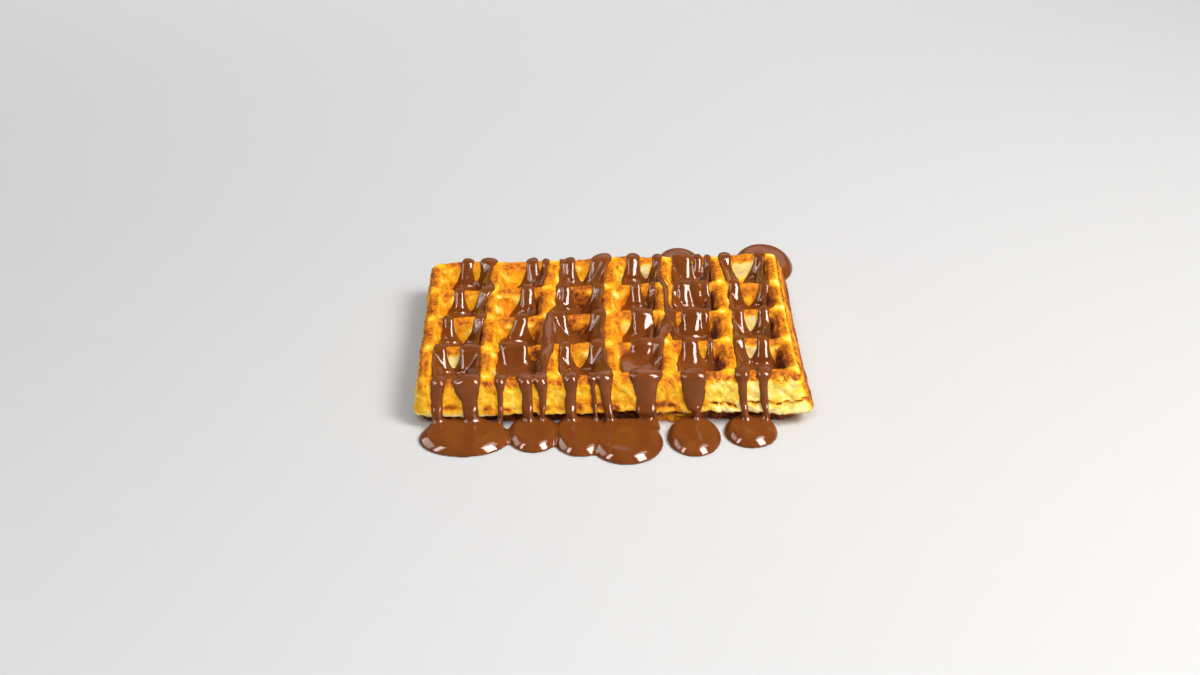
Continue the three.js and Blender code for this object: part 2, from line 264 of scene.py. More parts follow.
def pocket_emptiness(x, y, depth, full_depth, run):
    """How deep in its pocket's hollow a point is, negative in the crust: the smaller of its
    distances to the leaning walls and to the floor."""
    column, row = cell_of(x, y)
    middle_x = (column + 0.5) * COLUMN_PITCH - HALF_X + CELL_SHIFT[0][column, row]
    middle_y = (row + 0.5) * ROW_PITCH - HALF_Y + CELL_SHIFT[1][column, row]
    half_x = (COLUMN_PITCH - RIDGE_ALONG + CELL_SIZE[0][column, row]) / 2
    half_y = (ROW_PITCH - RIDGE_ACROSS + CELL_SIZE[1][column, row]) / 2
    inset = depth * run / full_depth
    lean = full_depth / math.hypot(full_depth, run)
    walls = -rectangle_distance(
        x - middle_x, y - middle_y, half_x - inset, half_y - inset, POCKET_CORNER
    )
    floor = full_depth + CELL_FLOOR[column, row] - depth
    return smooth_min(walls * lean, floor, 2.0)


def waffle_distance(p):
    """Signed distance to the baked crust, negative inside.

    A slab with flared walls, which reach further out at the right end, and a narrower lower crust,
    less a grid of drafted pockets above and a grid of shallower ones below. All edges are rounded
    by smooth_max. gx and gy are the place on a grid whose ridges run straight.
    """
    x, y, z = p[:, 0], p[:, 1], p[:, 2]
    gx = x - sway(x, y)
    gy = y - 0.5 * np.sin(x / 19 + 0.8)
    top = top_height(x, y)
    depth = top - z

    out = wall_overhang(top, z)
    flare = (out - TOP_OVERHANG) / (SEAM_OVERHANG - TOP_OVERHANG)
    half_x = HALF_X + out + SEAM_STRETCH * flare
    upper = rectangle_distance(gx - SEAM_SHIFT * flare, gy, half_x, HALF_Y + out, PLAN_CORNER)
    seam = SEAM_HEIGHT + 0.4 * np.sin(x / 7.3 + 0.5) + 0.35 * np.sin(y / 5.1 + x / 23)
    seam = seam + 0.012 * np.clip(x, -80, 40) + 0.25 * np.sin(x / 1.7 + 2 * np.sin(x / 5.9))
    upper = smooth_max(upper * 0.97, seam - z, 1.6)
    lower = rectangle_distance(gx, gy, HALF_X + LOWER_OVERHANG, HALF_Y + LOWER_OVERHANG, PLAN_CORNER)
    lower = smooth_max(lower, z - seam - 3.0, 1.0)
    slab = np.minimum(upper, lower)
    slab = smooth_max(slab, -depth, 3.2)
    slab = smooth_max(slab, -z, 1.8)

    hollow = pocket_emptiness(gx, gy, depth, POCKET_DEPTH, POCKET_WALL_RUN)
    under = pocket_emptiness(gx, gy, z, UNDER_POCKET_DEPTH, UNDER_WALL_RUN)
    return smooth_max(smooth_max(slab, hollow, 2.4), under, 1.4)


def at_stations(along, stations):
    """A run's middle and width, joined by S-shaped steps between its stations."""
    rows, middles, widths = (np.array(column) for column in zip(*stations))
    place = np.interp(along / ROW_PITCH, rows, np.arange(len(rows)))
    step = np.minimum(place.astype(int), len(rows) - 2)
    share = ramp(place - step, 0, 1)
    middle = middles[step] * (1 - share) + middles[step + 1] * share
    return middle, widths[step] * (1 - share) + widths[step + 1] * share


def run_field(p, crust, name):
    """Negative inside one run of sauce, and how far beside the run a point is.

    The run is a bead: a point is on its surface where the squares of its shares of the half width
    across, of the thickness above the crust and of the half width past the run's ends add up to 1.
    It follows the crust over the ridges and down the walls, and below the seam it hangs straight
    down. It spreads and thickens as it sinks into a pocket, it is thicker near the ground, and its
    crown leans to and fro.
    """
    x, y, z = p[:, 0], p[:, 1], p[:, 2]
    top = top_height(x, y)
    depth = np.maximum(top - z, 0)
    low = 1 - ramp(z, 6.5, 8.5)
    front = np.maximum(ramp(-y, HALF_Y + 1, HALF_Y + 3), low * ramp(-y, HALF_Y - 4, HALF_Y))
    behind = np.maximum(ramp(y, HALF_Y + 1, HALF_Y + 3), low * ramp(y, HALF_Y - 4, HALF_Y))
    outside = np.maximum(front, behind)
    in_grid = (1 - front) * (1 - behind)
    sunk = in_grid * np.clip((depth - 0.5) / 9.5, 0, 1)

    along = HALF_Y - y + depth * (front - behind)
    stations = RUNS[name]
    middle, width = at_stations(along, stations)
    seed = sum(ord(letter) for letter in name)
    middle = middle + 0.3 * np.sin(along / 5.3 + seed)
    width = width * (1 + 0.07 * np.sin(along / 4.1 + 2.2 * seed))
    spread = 1 + 1.25 * sunk**2 * np.clip(6 / width, 0.5, 1.2)
    half = 0.5 * width * spread
    thickness = np.minimum(0.2 + 0.19 * width, 1.5) + 0.35 * front
    thickness = thickness + 0.9 * outside * (1 - ramp(z, 8, 12))
    thickness = thickness * (1 + 0.33 * in_grid * np.clip(depth - 0.6, 0, 5.4))

    hanging = np.abs(y) - HALF_Y - wall_overhang(top, z)
    above = crust + (hanging - crust) * outside * (1 - ramp(z, 7.5, 10))
    across = (x - middle) / half
    lean = 0.25 * np.sin(along / 7.0 + 1.7 * seed)
    across = across + lean * np.maximum(1 - across**2, 0)
    first, last = stations[0][0] * ROW_PITCH, stations[-1][0] * ROW_PITCH
    past = np.maximum(np.maximum(first - along, along - last), 0)
    field = (np.sqrt(across**2 + (above / thickness) ** 2 + (past / half) ** 2) - 1) * thickness
    in_floor = (depth > POCKET_DEPTH + 1) & (in_grid > 0.5)
    return np.where(in_floor, FAR, field), np.abs(x - middle) - 0.5 * width


def pool_field(p, crust, beside):
    """Negative in the sauce standing in the pockets.

    It is thick, so it stands highest where the runs feed it and falls away from 3 mm beside them.
    A meniscus climbs the walls.
    """
    x, y, z = p[:, 0], p[:, 1], p[:, 2]
    gx = x - sway(x, y)
    column, row = cell_of(gx, y)
    surface = np.array(POOL_SURFACE)[ROWS - 1 - row, column]
    top = top_height(x, y)
    fall = 0.75 * np.maximum(beside - 3.0, 0)
    level = top - surface - fall + 0.25 * np.exp(-np.maximum(crust, 0) / 1.2)
    return np.maximum(np.maximum(z - level, top - POCKET_DEPTH - 2 - z), past_grid(gx, y))


def puddle_field(p):
    """Negative inside the puddles: thick flat drops run together.

    The rim's section lies between a bevel and a quarter round: the shares of its width and of its
    height, each to the power 1.5, add up to 1.
    """
    x, y, z = p[:, 0], p[:, 1], p[:, 2]
    field = np.full(len(p), FAR, p.dtype)
    for drops in PUDDLES.values():
        outline = np.full(len(p), FAR, p.dtype)
        for mx, my, rx, ry in drops:
            reach = np.hypot((x - mx) / rx, (y - my) / ry) - 1
            outline = smooth_min(outline, reach * min(rx, ry), 1.6)
        rim = np.maximum(outline + PUDDLE_EDGE, 0) / PUDDLE_EDGE
        height = np.maximum(z, 0) / PUDDLE_HEIGHT
        dome = ((rim**1.5 + height**1.5) ** (2 / 3) - 1) * PUDDLE_HEIGHT
        field = np.minimum(field, dome)
    return field


def sauce_field(p):
    """Negative inside the sauce: runs, pools and puddles joined and cut off just inside the crust.

    A run is left out of account more than 14 mm to either side of its stations.
    """
    crust = waffle_distance(p)
    field = np.full(len(p), FAR, p.dtype)
    beside = np.full(len(p), FAR, p.dtype)
    for name, stations in RUNS.items():
        xs = [station[1] for station in stations]
        near = np.flatnonzero(np.abs(p[:, 0] - np.mean(xs)) < np.ptp(xs) / 2 + 14)
        bead, distance = run_field(p[near], crust[near], name)
        field[near] = smooth_min(field[near], bead, 1.0)
        beside[near] = np.minimum(beside[near], distance)
    field = smooth_min(field, pool_field(p, crust, beside), 2.8)
    field = smooth_min(field, puddle_field(p), 2.4)
    field = np.maximum(field, -(crust + SAUCE_SINK))
    return np.maximum(field, GROUND_GAP - p[:, 2])


# Meshes


def without_pinches(field):
    """The field with more inside, so that its surface nowhere touches itself along an edge.

    It would do that where only two corners of a grid square are inside, and they lie across from
    each other. The shallower of the two other corners is taken inside, until no such square is left.
    """
    just_inside = -0.01
    field = field.copy()
    found = True
    while found:
        found = False
        for axis in range(3):
            squares = np.moveaxis(field, axis, 0)
            a, b = squares[:, :-1, :-1], squares[:, 1:, :-1]
            c, d = squares[:, :-1, 1:], squares[:, 1:, 1:]
            for this, that, one, other in ((a, d, b, c), (b, c, a, d)):
                pinch = (this < 0) & (that < 0) & (one >= 0) & (other >= 0)
                found = found or bool(pinch.any())
                shallower = one < other
                one[pinch & shallower] = just_inside
                other[pinch & ~shallower] = just_inside
    return field


def surface_net(field, low, cell):
    """Points and four-cornered faces of the surface where a field on a box grid is zero.

    Each grid cell that the surface passes through gets one point, the mean of where the surface
    crosses the cell's edges. Each grid edge that the surface crosses gets one face, through the
    points of the four cells around it, turned so that it looks away from the negative side.
    """
    inside = field < 0
    corners = [(i, j, k) for i in (0, 1) for j in (0, 1) for k in (0, 1)]
    nx, ny, nz = (n - 1 for n in field.shape)
    count = sum(inside[i : i + nx, j : j + ny, k : k + nz].astype(np.int8) for i, j, k in corners)
    mixed = (count > 0) & (count < 8)
    number = np.full(mixed.shape, -1)
    number[mixed] = np.arange(mixed.sum())
    cell_index = np.argwhere(mixed)

    total = np.zeros((len(cell_index), 3))
    crossings = np.zeros(len(cell_index))
    for start in corners:
        for axis in range(3):
            if start[axis]:
                continue
            stop = tuple(s + (a == axis) for a, s in enumerate(start))
            first = field[tuple((cell_index + start).T)]
            second = field[tuple((cell_index + stop).T)]
            crossed = (first < 0) != (second < 0)
            share = np.where(crossed, first / np.where(crossed, first - second, 1), 0)
            point = cell_index + np.array(start) + share[:, None] * np.eye(3)[axis]
            total += point * crossed[:, None]
            crossings += crossed
    points = low + total / crossings[:, None] * cell

    faces = []
    for axis in range(3):
        one, other = (axis + 1) % 3, (axis + 2) % 3
        ahead = np.eye(3, dtype=int)[axis]
        length = [n - a for n, a in zip(field.shape, ahead)]
        first = inside[tuple(slice(0, n) for n in length)]
        second = inside[tuple(slice(a, a + n) for a, n in zip(ahead, length))]
        edge = np.argwhere(first != second)
        ring = []
        for back_one, back_other in ((1, 1), (0, 1), (0, 0), (1, 0)):
            around = edge.copy()
            around[:, one] -= back_one
            around[:, other] -= back_other
            ring.append(number[tuple(around.T)])
        ring = np.stack(ring, axis=1)
        outwards = first[tuple(edge.T)]
        faces.append(np.where(outwards[:, None], ring, ring[:, ::-1]))
    return points, np.concatenate(faces)


def without_specks(points, faces, fewest):
    """The surface without its separate bits that have fewer points than that.

    Each bit is known by its lowest point number, which spreads from face to face.
    """
    bit = np.arange(len(points))
    while True:
        lowest = bit.copy()
        np.minimum.at(lowest, faces.ravel(), np.repeat(bit[faces].min(axis=1), 4))
        lowest = lowest[lowest]
        if (lowest == bit).all():
            break
        bit = lowest
    kept = np.bincount(bit, minlength=len(points))[bit] >= fewest
    number = np.cumsum(kept) - 1
    return points[kept], number[faces[kept[faces[:, 0]]]]


def gradient_of(field_function, p, step=0.15):
    """The field's slope at points, by central differences."""
    columns = []
    for axis in range(3):
        shift = np.zeros(3, p.dtype)
        shift[axis] = step
        columns.append((field_function(p + shift) - field_function(p - shift)) / (2 * step))
    return np.stack(columns, axis=1)


def settle(field_function, p, rounds, longest):
    """Points moved along the slope onto the field's zero surface, at most longest a round."""
    for _ in range(rounds):
        slope = gradient_of(field_function, p)
        step = field_function(p) / np.maximum((slope**2).sum(axis=1), 0.05)
        step = np.clip(step, -longest, longest)
        p = p - slope * step[:, None]
    return p


def relax(points, faces, rounds):
    """Points eased half way to the mean of their neighbours and then nearly as far back, which
    smooths them without shrinking."""
    edges = np.concatenate([faces[:, [i, (i + 1) % 4]] for i in range(4)])
    ends = np.concatenate([edges, edges[:, ::-1]])
    size = np.bincount(ends[:, 0], minlength=len(points))
    for turn in range(2 * rounds):
        mean = np.stack(
            [np.bincount(ends[:, 0], points[ends[:, 1], a], len(points)) for a in range(3)], axis=1
        )
        mean /= size[:, None]
        points = points + (0.5 if turn % 2 == 0 else -0.48) * (mean - points)
    return points


def new_object(name, data):
    """An object with that mesh, light or camera, in the scene."""
    made = bpy.data.objects.new(name, data)
    bpy.context.scene.collection.objects.link(made)
    return made


def make_piece(name, points, faces, material, attributes=None):
    """A smooth-shaded mesh object from points in millimetres, with one value a point for each
    attribute."""
    mesh = bpy.data.meshes.new(name)
    mesh.from_pydata(points * MM, [], faces)
    mesh.polygons.foreach_set("use_smooth", np.ones(len(mesh.polygons), bool))
    for key, values in (attributes or {}).items():
        layer = mesh.attributes.new(key, "FLOAT", "POINT")
        layer.data.foreach_set("value", values.astype(np.float32))
    mesh.materials.append(material)
    mesh.update()
    piece = new_object(name, mesh)
    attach(piece, "root")
    return piece


# Materials


def linear(hex_colour):
    """An sRGB hex colour as linear red, green, blue and alpha."""
    srgb = [int(hex_colour[i : i + 2], 16) / 255 for i in (1, 3, 5)]
    return [c / 12.92 if c <= 0.04045 else ((c + 0.055) / 1.055) ** 2.4 for c in srgb] + [1.0]


def pattern_scale(size):
    """The scale at which a pattern's features are about that many millimetres wide."""
    return 1 / (size * MM)


def new_material(name):
    """A material with no nodes yet."""
    material = bpy.data.materials.new(name)
    material.use_nodes = True
    material.node_tree.nodes.clear()
    return material


def add(material, kind, settings=None, links=None):
    """A node with its settings, set on the node or on its sockets, and its links by socket."""
    node = material.node_tree.nodes.new(kind)
    for key, value in (settings or {}).items():
        if isinstance(key, int) or key in node.inputs:
            node.inputs[key].default_value = value
        else:
            setattr(node, key, value)
    for key, source in (links or {}).items():
        material.node_tree.links.new(source, node.inputs[key])
    return node


def set_ramp(node, stops):
    """Stops of (place, hex colour) on a colour ramp."""
    elements = node.color_ramp.elements
    while len(elements) > len(stops):
        elements.remove(elements[-1])
    while len(elements) < len(stops):
        elements.new(1.0)
    for element, (place, colour) in zip(elements, stops):
        element.position = place
        element.color = linear(colour)


def baked_batter():
    """Baked yeast batter, pressed and browned between cast irons.

    Pale cream where it barely met the iron, golden yellow to orange on the crust and dark brown
    where it baked longest, and the same scale carries painted light and shade. It is dry and dull,
    blotched every 6 mm or so, freckled every 1.25 mm, and where it is well browned it breaks up
    into crumbs of 1.6 mm, each darker at its foot.
    """
    material = new_material("baked_batter_crust")
    place = add(material, "ShaderNodeTexCoord").outputs["Object"]
    # The browning value, which also carries painted light and shade
    bake_and_shading = add(material, "ShaderNodeAttribute", {"attribute_name": "bake_and_shading"}).outputs["Fac"]
    blotches = add(material, "ShaderNodeTexNoise",
                   {"Scale": pattern_scale(6.0), "Detail": 4.0, "Roughness": 0.6},
                   {"Vector": place}).outputs["Fac"]
    freckles = add(material, "ShaderNodeTexNoise",
                   {"Scale": pattern_scale(1.25), "Detail": 3.0, "Roughness": 0.65},
                   {"Vector": place}).outputs["Fac"]
    crumbs = add(material, "ShaderNodeTexVoronoi", {"Scale": pattern_scale(1.6)},
                 {"Vector": place}).outputs["Distance"]
    blotchy = add(material, "ShaderNodeMath", {"operation": "MULTIPLY_ADD", 1: 0.16, 2: -0.08},
                  {0: blotches}).outputs[0]
    freckled = add(material, "ShaderNodeMath", {"operation": "MULTIPLY_ADD", 1: 0.42, 2: -0.21},
                   {0: freckles}).outputs[0]
    crumbly = add(material, "ShaderNodeMapRange",
                  {"From Min": 0.4, "From Max": 0.7, "To Min": 0.07, "To Max": 0.36},
                  {"Value": bake_and_shading}).outputs["Result"]
    granular = add(material, "ShaderNodeMath", {"operation": "MULTIPLY"},
                   {0: crumbs, 1: crumbly}).outputs[0]
    centred = add(material, "ShaderNodeMath", {"operation": "MULTIPLY_ADD", 1: -0.42},
                  {0: crumbly, 2: granular}).outputs[0]
    noisy = add(material, "ShaderNodeMath", {"operation": "ADD"}, {0: blotchy, 1: freckled}).outputs[0]
    uneven = add(material, "ShaderNodeMath", {"operation": "ADD"}, {0: noisy, 1: centred}).outputs[0]
    darkness = add(material, "ShaderNodeMath", {"operation": "ADD", "use_clamp": True},
                {0: bake_and_shading, 1: uneven}).outputs[0]
    tone = add(material, "ShaderNodeValToRGB", None, {"Fac": darkness})
    set_ramp(tone, (
        (0.0, "#FFEBA0"), (0.15, "#FFDA58"), (0.30, "#FBBC18"), (0.45, "#F09A08"),
        (0.58, "#D87E07"), (0.70, "#B55C08"), (0.84, "#88430A"), (1.0, "#552809"),
    ))
    grain = add(material, "ShaderNodeMath", {"operation": "MULTIPLY_ADD", 1: -2.8},
                {0: granular, 2: freckles}).outputs[0]
    bump = add(material, "ShaderNodeBump", {"Strength": 0.6, "Distance": 0.5 * MM}, {"Height": grain})
    surface = add(material, "ShaderNodeBsdfPrincipled",
                  {"Roughness": 0.75, "IOR": 1.45, "Specular IOR Level": 0.08,
                   "Subsurface Weight": 0.12, "Subsurface Scale": 4 * MM,
                   "Subsurface Radius": (1.0, 0.55, 0.2)},
                  {"Base Color": tone.outputs["Color"], "Normal": bump.outputs["Normal"]})
    add(material, "ShaderNodeOutputMaterial", None, {"Surface": surface.outputs["BSDF"]})
    return material


def hazelnut_chocolate():
    """Warm chocolate hazelnut sauce: an opaque oily brown liquid with a wet, mirror-like gloss,
    streaks of paler nut oil about 16 mm long and slow ripples of 7 mm."""
    material = new_material("poured_chocolate_hazelnut_sauce")
    place = add(material, "ShaderNodeTexCoord").outputs["Object"]
    swirl = add(material, "ShaderNodeTexNoise",
                {"Scale": pattern_scale(16.0), "Detail": 3.0, "Distortion": 1.6},
                {"Vector": place}).outputs["Fac"]
    tone = add(material, "ShaderNodeValToRGB", None, {"Fac": swirl})
    set_ramp(tone, ((0.3, "#733B15"), (0.55, "#7A4017"), (0.75, "#84481B")))
    ripple = add(material, "ShaderNodeTexNoise", {"Scale": pattern_scale(7.0), "Detail": 2.0},
                 {"Vector": place}).outputs["Fac"]
    bump = add(material, "ShaderNodeBump", {"Strength": 0.12, "Distance": 0.6 * MM}, {"Height": ripple})
    surface = add(material, "ShaderNodeBsdfPrincipled",
                  {"Roughness": 0.07, "IOR": 1.47, "Specular IOR Level": 0.2,
                   "Subsurface Weight": 0.08, "Subsurface Scale": 2 * MM,
                   "Subsurface Radius": (1.0, 0.4, 0.2)},
                  {"Base Color": tone.outputs["Color"], "Normal": bump.outputs["Normal"]})
    add(material, "ShaderNodeOutputMaterial", None, {"Surface": surface.outputs["BSDF"]})
    return material


# Pieces


def grid_lines(count, pitch, ridge, reach):
    """Rising places across the grid, close together on ridges and walls and wide on floors. There is
    an odd number of them, so that every second one makes a grid from end to end too."""
    edge = ridge / 2
    foot = edge + POCKET_WALL_RUN
    on_ridge, on_wall, on_floor = ((8, 12, 13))
    stretch = np.concatenate([
        np.linspace(-edge, edge, on_ridge)[:-1],
        np.linspace(edge, foot, on_wall)[:-1],
        np.linspace(foot, pitch - foot, on_floor)[:-1],
        np.linspace(pitch - foot, pitch - edge, on_wall)[:-1],
    ])
    lines = (np.arange(count + 1)[:, None] * pitch - count / 2 * pitch + stretch).ravel()
    lines = lines[(lines > -reach + 0.3) & (lines < reach - 0.3)]
    lines = np.concatenate([[-reach], lines, [reach]])
    return lines if len(lines) % 2 else np.delete(lines, len(lines) // 2)


def cast(starts, directions, longest):
    """The points where rays from inside the crust leave it, by halving the range 22 times."""
    low = np.zeros(len(starts))
    high = np.full(len(starts), float(longest))
    for _ in range(22):
        middle = (low + high) / 2
        outside = waffle_distance(starts + directions * middle[:, None]) > 0
        high = np.where(outside, middle, high)
        low = np.where(outside, low, middle)
    return starts + directions * low[:, None]


def plan_of(lines_x, lines_y, corner):
    """The grid of two sets of lines with its four corners drawn in to quarter circles, shifted
    with the ridges that stray."""
    x, y = (a.copy() for a in np.meshgrid(lines_x, lines_y, indexing="ij"))
    edge_x, edge_y = lines_x[-1] - corner, lines_y[-1] - corner
    a = np.clip((np.abs(x) - edge_x) / corner, 0, 1)
    b = np.clip((np.abs(y) - edge_y) / corner, 0, 1)
    in_corner = (a > 0) & (b > 0)
    round_x = np.sign(x) * (edge_x + corner * a * np.sqrt(1 - b**2 / 2))
    round_y = np.sign(y) * (edge_y + corner * b * np.sqrt(1 - a**2 / 2))
    x = np.where(in_corner, round_x, x)
    y = np.where(in_corner, round_y, y)
    return x + sway(x, y), y


def grid_faces(numbers):
    """The four-cornered faces between neighbouring numbers of a grid."""
    return np.stack(
        [numbers[:-1, :-1], numbers[1:, :-1], numbers[1:, 1:], numbers[:-1, 1:]], axis=-1
    ).reshape(-1, 4)


def rim_of(grid):
    """The outermost entries of a grid in order, anticlockwise seen from above."""
    return np.concatenate([grid[:-1, 0], grid[-1, :-1], grid[:0:-1, -1], grid[0, :0:-1]])


def crust_points():
    """The crust as three sheets joined at their edges.

    The upper sheet is the height over a grid of places. The wall is a profile carried round the
    upper sheet's rim: rays that turn from straight up to level, 3.4 mm below the top, sink down the
    side to 2.2 mm above the ground and turn to straight down. The lower sheet is the height under
    every second place of the same grid, so between it and the wall each step has three triangles.
    """
    inset, corner = 0.3, 3.0
    lines_x = grid_lines(COLUMNS, COLUMN_PITCH, RIDGE_ALONG, HALF_X - inset)
    lines_y = grid_lines(ROWS, ROW_PITCH, RIDGE_ACROSS, HALF_Y - inset)
    x, y = plan_of(lines_x, lines_y, corner)
    flat = np.stack([x, y, np.zeros_like(x)], axis=-1)

    def surface_from(level, places, direction):
        """Where rays straight up or down from a level leave the crust."""
        starts = places.reshape(-1, 3).copy()
        starts[:, 2] = level
        return cast(starts, np.tile([0.0, 0.0, direction], (len(starts), 1)), 18)

    middle_of_crust = 7.8
    upper = surface_from(middle_of_crust, flat, 1.0)
    coarse = flat[::2, ::2]
    lower = surface_from(middle_of_crust, coarse, -1.0)

    numbers = np.arange(len(upper)).reshape(x.shape)
    rim = rim_of(numbers)
    base = flat.reshape(-1, 3)[rim]
    ahead = np.roll(base, -1, axis=0) - np.roll(base, 1, axis=0)
    out = np.stack([ahead[:, 1], -ahead[:, 0], np.zeros(len(ahead))], axis=1)
    out /= np.linalg.norm(out, axis=1)[:, None]
    for _ in range(4):
        out = (np.roll(out, 1, axis=0) + out + np.roll(out, -1, axis=0)) / 3
    out /= np.linalg.norm(out, axis=1)[:, None]
    top = top_height(base[:, 0], base[:, 1])

    bends, steps = ((6, 34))
    turns = [math.radians(turn) for turn in np.linspace(90, 0, bends + 1)[1:]]
    high, low = top - 3.4, 2.2
    rings = [(high, turn) for turn in turns]
    rings += [(high + (low - high) * share, 0.0) for share in np.linspace(0, 1, steps)[1:]]
    rings += [(low, -turn) for turn in turns[-2::-1]]
    wall = []
    for height, turn in rings:
        starts = base.copy()
        starts[:, 2] = height
        directions = out * math.cos(turn) + np.array([0, 0, 1.0]) * math.sin(turn)
        wall.append(cast(starts, directions, 13))
    points = np.concatenate([upper, *wall, lower])

    ring_numbers = [rim]
    for i in range(len(wall)):
        ring_numbers.append(len(upper) + i * len(rim) + np.arange(len(rim)))
    lower_start = len(upper) + len(wall) * len(rim)
    lower_numbers = lower_start + np.arange(len(lower)).reshape(coarse.shape[:2])
    faces = [grid_faces(numbers)]
    for above, below in zip(ring_numbers, ring_numbers[1:]):
        faces.append(np.stack([above, below, np.roll(below, -1), np.roll(above, -1)], axis=1))
    lower_rim = rim_of(lower_numbers)
    last = ring_numbers[-1]
    first, second, third = last[0::2], last[1::2], np.roll(last, -2)[0::2]
    triangles = np.concatenate([
        np.stack([first, lower_rim, second], axis=1),
        np.stack([second, lower_rim, np.roll(lower_rim, -1)], axis=1),
        np.stack([second, np.roll(lower_rim, -1), third], axis=1),
    ])
    faces.append(grid_faces(lower_numbers)[:, ::-1])
    return points, np.concatenate(faces), triangles


def crack_height(x):
    """The height of the torn seam along the right part of the front wall."""
    waves = 0.6 * np.sin(x / 3.1) + 0.4 * np.sin(x / 1.3 + 1) + 0.35 * np.sin(x / 0.6 + 2)
    return 10.6 + waves + 0.03 * (x - 45)


def line_across(value, half_width):
    """1 where the value is 0, falling off to either side as a bell curve."""
    return np.exp(-((value / half_width) ** 2))


def flap(p, slope):
    """1 on the bit of the lower crust that sticks out below the front's middle right, else 0."""
    x, y, z = p.T
    outside = ramp(-y, HALF_Y - 1.5, HALF_Y) * (1 - ramp(z, 3.6, 5))
    return outside * ramp(-slope[:, 1], 0.3, 0.7) * ramp(x, 11, 18) * (1 - ramp(x, 37, 44))


def bulges(p):
    """Swollen lumps on the pocket walls, 0 between them and 1 at their crowns."""
    return ramp(rumple(p, 7.5, 31), 0.2, 1.6)


def relief(p, slope):
    """How far the crust stands out of its plain form, in millimetres.

    Slow lumps, crags and grain, each a share of its noise, less scattered pits. The outer walls
    are coarser than the ridges, and the right wall is finer. To these are added the swollen pocket
    walls, the fin on the right rim, the flap of lower crust and the torn seam, which is a crack
    with a rough lip below it. All of it fades towards the seam at the right end.
    """
    p32 = p.astype(np.float32)
    x, y, z = p.T
    wall = ramp(past_grid(x, y), 1.5, 4)
    right = wall * ramp(slope[:, 0], 0.3, 0.7)
    front = wall * ramp(-slope[:, 1], 0.3, 0.7)
    lumps, crags, grain = (rumple(p32, *noise) for noise in ((11, 3), (4.2, 4), (2.2, 5)))
    pits = ramp(rumple(p32, 5.5, 6), 1.1, 2.0)
    out = (0.10 + 0.12 * wall) * lumps + (0.09 + 0.08 * wall - 0.1 * right) * crags
    out = out + (0.08 + 0.06 * right) * grain - (0.45 - 0.35 * right) * pits

    out = out + 0.65 * bulges(p32) * (1 - wall) * ramp(top_height(x, y) - z, 1.5, 3.5)
    out = out + 0.3 * line_across(x - sway(x, y) - FIN, 0.6) * ramp(slope[:, 2], 0.3, 0.8)
    out = out + (1.5 + 0.4 * crags) * flap(p, slope)

    torn = front * ramp(x, TORN_FROM, TORN_FULLY)
    above_crack = z - crack_height(x)
    lip = ramp(-above_crack, 0.6, 1.3) * ramp(z, 5, 6)
    out = out - 2.0 * torn * line_across(above_crack, 0.5) * ramp(grain + crags, -1.2, 0.8)
    out = out + 0.3 * torn * lip * (1 + 0.8 * crags + 0.5 * grain)
    return out * (1 - 0.55 * ramp(x - HALF_X, 4, 7) * (1 - ramp(z, 8, 12)))


def marks_of(p, slope):
    """What the browning and painted light and shade of a point depend on: its place on the grid, its
    share of the way from the seam to the top, what it faces, and four noises."""
    p32 = p.astype(np.float32)
    x, y, z = p.T
    gx = x - sway(x, y)
    column, row = cell_of(gx, y)
    top = top_height(x, y)
    past = past_grid(gx, y)
    return SimpleNamespace(
        x=x, y=y, z=z, gx=gx,
        depth=top - z,
        share=(z - SEAM_HEIGHT) / (top - SEAM_HEIGHT),
        pocket=row * COLUMNS + column,
        from_ridge_x=COLUMN_PITCH * (0.5 - np.abs((gx / COLUMN_PITCH) % 1 - 0.5)),
        from_ridge_y=ROW_PITCH * (0.5 - np.abs((y / ROW_PITCH) % 1 - 0.5)),
        rim=ramp(past, -2.5, 0.5),
        outer=ramp(past, 1.6, 2.8),
        front=ramp(-slope[:, 1], 0.35, 0.8),
        left=ramp(-slope[:, 0], 0.35, 0.8),
        right=ramp(slope[:, 0], 0.35, 0.8),
        bulges=bulges(p32),
        flap=flap(p, slope),
        clouds=rumple(p32, 17, 21),
        patches=rumple(p32, 6.5, 22),
        specks=rumple(p32, 2.6, 23),
        dots=rumple(p32, 1.5, 24),
    )


def ridge_bake_and_shading(at):
    """Browned ridge tops, pale where two ridges cross, with painted light on the sides that face right,
    a painted highlight along the fin and painted shade on the sides that face left, and darker on
    the front rim and at the left end."""
    crossing = line_across(at.from_ridge_x, 3.0) * line_across(at.from_ridge_y, 3.0)
    front_rim = at.rim * ramp(-at.y, HALF_Y - 2, HALF_Y + 1)
    bake_and_shading = 0.58 + 0.03 * at.clouds + 0.04 * at.patches + 0.05 * at.specks
    # Painted light on the sides that face right, a painted highlight along the fin, and painted shade
    # on the sides that face left
    bake_and_shading = bake_and_shading - 0.41 * crossing - 0.2 * at.right - 0.28 * line_across(at.gx - FIN, 0.7)
    return bake_and_shading + 0.08 * at.left + 0.10 * front_rim + 0.05 * (1 - ramp(at.gx, -78, -73))


